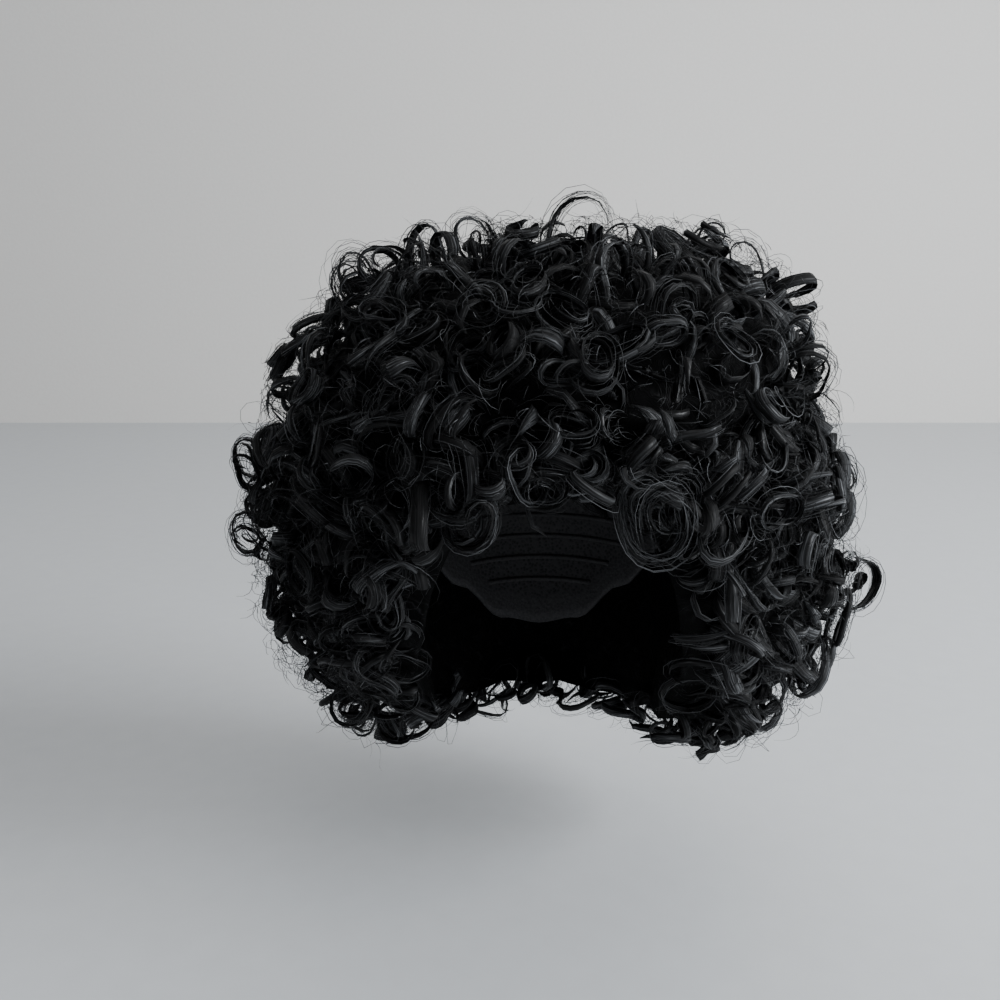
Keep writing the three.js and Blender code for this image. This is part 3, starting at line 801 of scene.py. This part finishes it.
def add_bump(nodes, links, shader, height, strength, distance):
    bump = nodes.new("ShaderNodeBump")
    bump.inputs["Strength"].default_value = strength
    bump.inputs["Distance"].default_value = distance
    links.new(height, bump.inputs["Height"])
    links.new(bump.outputs["Normal"], shader.inputs["Normal"])


def hair_material():
    """Black synthetic fibre: fine streaks along each lock, the brightest painted in as highlights, and
    its own tone for each strand.
    """
    material, nodes, links, shader = new_material("black_hair")
    tone, across, along = (attribute(nodes, word) for word in ("tone", "across", "along"))
    place = nodes.new("ShaderNodeCombineXYZ")
    links.new(math_node(nodes, links, "MULTIPLY", across, 1.7), place.inputs["X"])
    links.new(math_node(nodes, links, "MULTIPLY", tone, 61.0), place.inputs["Y"])
    links.new(math_node(nodes, links, "MULTIPLY", along, 5.0), place.inputs["Z"])
    streaks = noise_texture(nodes, links, place.outputs[0], 1.0, 4.0)
    lifted = math_node(nodes, links, "MULTIPLY", tone, 0.22)
    mixed = math_node(nodes, links, "ADD", lifted, streaks.outputs["Fac"])
    # Painted highlight: the upper stops paint the brightest streaks pale blue-grey, as fibres catching
    # the light; the lower stops are the fibre's own black.
    colour = ramp(nodes, links, mixed, [
        (0.46, (0.0038, 0.0038, 0.004)), (0.6, (0.0075, 0.0075, 0.008)),
        (0.71, (0.024, 0.025, 0.0265)), (0.84, (0.12, 0.124, 0.131)),
    ])
    links.new(colour, shader.inputs["Base Color"])
    rough = ramp(nodes, links, streaks.outputs["Fac"], [(0.45, (0.8,) * 3), (0.62, (0.33,) * 3)])
    links.new(rough, shader.inputs["Roughness"])
    add_bump(nodes, links, shader, streaks.outputs["Fac"], 0.9, 0.35 * MM)
    shader.inputs["Specular IOR Level"].default_value = 0.2
    return material


def core_material():
    """The tangle deep between the locks: fine fibres that run in rings or side by side, coloured
    darker than the locks as painted shade.
    """
    material, nodes, links, shader = new_material("hair_depth_painted_shade")
    place = nodes.new("ShaderNodeTexCoord").outputs["Object"]
    wander = noise_texture(nodes, links, place, 90.0)
    shift = nodes.new("ShaderNodeVectorMath")
    shift.operation = "MULTIPLY_ADD"
    shift.inputs[1].default_value = (0.012, 0.012, 0.012)
    links.new(wander.outputs["Color"], shift.inputs[0])
    links.new(place, shift.inputs[2])
    cells = nodes.new("ShaderNodeTexVoronoi")
    cells.inputs["Scale"].default_value = 1 / CORE_CURL
    links.new(shift.outputs[0], cells.inputs["Vector"])
    rings_a_cell = CORE_CURL / FIBRE_SPACING
    ringed = math_node(nodes, links, "MULTIPLY", cells.outputs["Distance"], rings_a_cell)
    run = nodes.new("ShaderNodeVectorMath")
    run.operation = "SUBTRACT"
    run.inputs[1].default_value = (0.5, 0.5, 0.5)
    links.new(cells.outputs["Color"], run.inputs[0])
    beside = nodes.new("ShaderNodeVectorMath")
    beside.operation = "DOT_PRODUCT"
    links.new(run.outputs[0], beside.inputs[0])
    links.new(shift.outputs[0], beside.inputs[1])
    straight = math_node(nodes, links, "MULTIPLY", beside.outputs["Value"], 2 / FIBRE_SPACING)
    split = nodes.new("ShaderNodeSeparateXYZ")
    links.new(cells.outputs["Color"], split.inputs[0])
    choice = nodes.new("ShaderNodeMix")
    run_straight = math_node(nodes, links, "GREATER_THAN", split.outputs["X"], 0.6)
    links.new(run_straight, choice.inputs["Factor"])
    links.new(ringed, choice.inputs["A"])
    links.new(straight, choice.inputs["B"])
    fine = nodes.new("ShaderNodeTexNoise")
    fine.noise_dimensions = "1D"
    fine.inputs["Scale"].default_value = 1.0
    fine.inputs["Detail"].default_value = 2.0
    links.new(choice.outputs["Result"], fine.inputs["W"])
    patches = noise_texture(nodes, links, place, 160.0)
    mixed = math_node(nodes, links, "MULTIPLY", fine.outputs["Fac"], patches.outputs["Fac"])
    # Painted shade: far darker than the locks' own black, so the gaps between them read as deep
    # shadow; the paler rings and lines are the fibres.
    colour = ramp(nodes, links, mixed, [
        (0.24, (0.001, 0.001, 0.0011)), (0.34, (0.002, 0.002, 0.0022)),
        (0.44, (0.007, 0.007, 0.008)),
    ])
    links.new(colour, shader.inputs["Base Color"])
    rough = ramp(nodes, links, mixed, [(0.24, (0.9,) * 3), (0.4, (0.6,) * 3)])
    links.new(rough, shader.inputs["Roughness"])
    shader.inputs["Specular IOR Level"].default_value = 0.08
    add_bump(nodes, links, shader, fine.outputs["Fac"], 0.9, 0.8 * MM)
    return material


def cap_material():
    """Black stretch net, with the hem and the weft tracks a little paler and smoother."""
    material, nodes, links, shader = new_material("cap_net")
    place = nodes.new("ShaderNodeTexCoord").outputs["Object"]
    holes = nodes.new("ShaderNodeTexVoronoi")
    holes.inputs["Scale"].default_value = 520.0
    links.new(place, holes.inputs["Vector"])
    threads = noise_texture(nodes, links, place, 900.0)
    net = ramp(nodes, links, holes.outputs["Distance"], [
        (0.15, (0.004, 0.004, 0.0045)), (0.55, (0.028, 0.027, 0.029)),
    ])
    woven = ramp(nodes, links, threads.outputs["Fac"], [
        (0.3, (0.02, 0.0195, 0.021)), (0.7, (0.045, 0.044, 0.047)),
    ])
    mix = nodes.new("ShaderNodeMix")
    mix.data_type = "RGBA"
    links.new(attribute(nodes, "tone"), mix.inputs["Factor"])
    links.new(net, mix.inputs["A"])
    links.new(woven, mix.inputs["B"])
    links.new(mix.outputs["Result"], shader.inputs["Base Color"])
    shader.inputs["Roughness"].default_value = 0.78
    add_bump(nodes, links, shader, holes.outputs["Distance"], 0.7, 0.4 * MM)
    return material


def plain_material(name, colour, roughness, grain, depth):
    material, nodes, links, shader = new_material(name)
    place = nodes.new("ShaderNodeTexCoord").outputs["Object"]
    mottle = noise_texture(nodes, links, place, grain, 4.0)
    low = tuple(0.97 * c for c in colour)
    tint = ramp(nodes, links, mottle.outputs["Fac"], [(0.3, low), (0.7, colour)])
    links.new(tint, shader.inputs["Base Color"])
    shader.inputs["Roughness"].default_value = roughness
    add_bump(nodes, links, shader, mottle.outputs["Fac"], 0.4, depth)
    return material


def flat_stage(name, corners, material):
    mesh = bpy.data.meshes.new(name)
    mesh.from_pydata(corners, [], [(0, 1, 2, 3)])
    mesh.materials.append(material)
    obj = bpy.data.objects.new(name, mesh)
    bpy.context.scene.collection.objects.link(obj)


def build_stage():
    floor = plain_material("pale_floor", (0.7, 0.72, 0.74), 0.5, 60.0, 0.1 * MM)
    wall = plain_material("pale_wall", (0.84, 0.82, 0.79), 0.9, 160.0, 0.6 * MM)
    z, far, near, wide = -FLOOR_DROP, WALL_DISTANCE, FLOOR_NEAR, STAGE_HALF_WIDTH
    flat_stage("floor", [(-wide, near, z), (wide, near, z), (wide, far, z), (-wide, far, z)], floor)
    top = z + WALL_HEIGHT
    flat_stage("wall", [(-wide, far, z), (wide, far, z), (wide, far, top), (-wide, far, top)], wall)


def area_light(name, place, size, power, colour):
    light = bpy.data.lights.new(name, "AREA")
    light.shape = "RECTANGLE"
    light.size, light.size_y = size
    light.energy = power
    light.color = colour
    obj = bpy.data.objects.new(name, light)
    obj.location = place
    obj.rotation_euler = (Vector(LIGHTS_AIM) - Vector(place)).to_track_quat("-Z", "Y").to_euler()
    bpy.context.scene.collection.objects.link(obj)


def build_lights():
    for light in LIGHTS:
        area_light(*light)
    world = bpy.data.worlds.new("studio")
    world.use_nodes = True
    background = world.node_tree.nodes["Background"]
    background.inputs["Color"].default_value = WORLD_COLOUR
    background.inputs["Strength"].default_value = WORLD_STRENGTH
    bpy.context.scene.world = world


def build_camera():
    camera = bpy.data.cameras.new("camera")
    camera.lens = LENS
    camera.sensor_width = SENSOR
    obj = bpy.data.objects.new("camera", camera)
    obj.location = CAMERA_PLACE
    obj.rotation_euler = (math.radians(90 - CAMERA_PITCH), 0, 0)
    bpy.context.scene.collection.objects.link(obj)
    bpy.context.scene.camera = obj


def place_piece(obj, slot, *nodes):
    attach(obj, "root")
    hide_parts(*nodes)


build_camera()
build_stage()
build_lights()

hair = hair_material()
place_piece(build_cap(cap_material()), "cap_cloth", "cap")
place_piece(build_core(core_material()), "hair", *(f"{section}_curls" for section in SECTIONS))
for piece, section in build_locks(hair) + build_strays(hair):
    place_piece(piece, "hair", f"{section}_curls")
